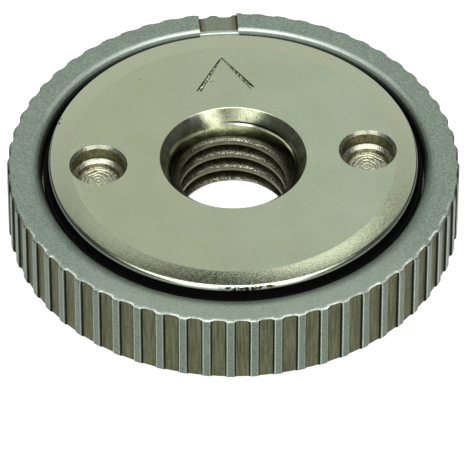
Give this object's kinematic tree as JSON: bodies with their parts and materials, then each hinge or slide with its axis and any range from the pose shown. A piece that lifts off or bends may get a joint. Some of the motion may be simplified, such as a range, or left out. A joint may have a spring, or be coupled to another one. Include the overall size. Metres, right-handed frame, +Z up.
{
  "type": "quick release grinder nut",
  "caption": "Round clamping nut with a fluted hand ring, a threaded hub with two spanner holes, and a ball and cam release that lets its clamping flange rise.",
  "frame": {"origin": "centre of the clamping face underneath, on the thread's axis", "axes": "+Z up the thread's axis, away from the clamped disc; +Y towards the index notch; the two spanner holes lie on X"},
  "size_m": [0.0502, 0.0502, 0.0106],
  "materials": {
    "machined_steel": "fine turned steel with a thin greenish phosphate tint, satin",
    "phosphated_steel": "bead-blasted and phosphated steel, matte grey-green, bare on worn edges",
    "hardened_steel": "ground hardened steel, oiled",
    "ball_steel": "polished bearing steel",
    "spring_steel": "blackened spring steel",
    "seal_rubber": "black nitrile rubber, matte"
  },
  "bodies": {
    "hub": {"threaded_hub": "machined_steel", "ball_guide": "hardened_steel", "guide_pin_1": "hardened_steel", "guide_pin_2": "hardened_steel", "guide_pin_3": "hardened_steel", "return_spring_1": "spring_steel", "return_spring_2": "spring_steel", "top_seal": "seal_rubber", "hub_snap_ring": "spring_steel"},
    "ring": {"knurled_ring": "phosphated_steel", "cam_ring": "hardened_steel", "drive_pin_1": "hardened_steel", "drive_pin_2": "hardened_steel", "cam_snap_ring": "spring_steel"},
    "flange": {"pressure_flange": "machined_steel", "bottom_seal": "seal_rubber"},
    "ball_a": {"ball_1": "ball_steel"},
    "ball_b": {"ball_2": "ball_steel"},
    "ball_c": {"ball_3": "ball_steel"},
    "ball_d": {"ball_4": "ball_steel"},
    "ball_e": {"ball_5": "ball_steel"},
    "ball_f": {"ball_6": "ball_steel"}
  },
  "joints": [
    {"name": "ring_turn", "type": "hinge", "parent": "hub", "child": "ring", "pos_m": [0, 0, 0], "axis": [0, 0, 1], "range_deg": [0, 30], "stiffness_Nm_per_rad": 0.12, "springref_deg": -34.38, "deforming": ["return_spring_1", "return_spring_2"]},
    {"name": "flange_lift", "type": "slide", "parent": "hub", "child": "flange", "axis": [0, 0, 1], "range_m": [0, 0.00051]},
    {"name": "ball_a_slide", "type": "slide", "parent": "hub", "child": "ball_a", "axis": [1, 0, 0], "range_m": [0, 0.00122]},
    {"name": "ball_b_slide", "type": "slide", "parent": "hub", "child": "ball_b", "axis": [0.5, 0.866, 0], "range_m": [0, 0.00122]},
    {"name": "ball_c_slide", "type": "slide", "parent": "hub", "child": "ball_c", "axis": [-0.5, 0.866, 0], "range_m": [0, 0.00122]},
    {"name": "ball_d_slide", "type": "slide", "parent": "hub", "child": "ball_d", "axis": [-1, 0, 0], "range_m": [0, 0.00122]},
    {"name": "ball_e_slide", "type": "slide", "parent": "hub", "child": "ball_e", "axis": [-0.5, -0.866, 0], "range_m": [0, 0.00122]},
    {"name": "ball_f_slide", "type": "slide", "parent": "hub", "child": "ball_f", "axis": [0.5, -0.866, 0], "range_m": [0, 0.00122]}
  ],
  "couplings": [
    {"joint": "flange_lift", "follows": "ring_turn", "m_per_rad": 0.00095493},
    {"joint": "ball_a_slide", "follows": "ring_turn", "m_per_rad": 0.0022918},
    {"joint": "ball_b_slide", "follows": "ring_turn", "m_per_rad": 0.0022918},
    {"joint": "ball_c_slide", "follows": "ring_turn", "m_per_rad": 0.0022918},
    {"joint": "ball_d_slide", "follows": "ring_turn", "m_per_rad": 0.0022918},
    {"joint": "ball_e_slide", "follows": "ring_turn", "m_per_rad": 0.0022918},
    {"joint": "ball_f_slide", "follows": "ring_turn", "m_per_rad": 0.0022918}
  ]
}
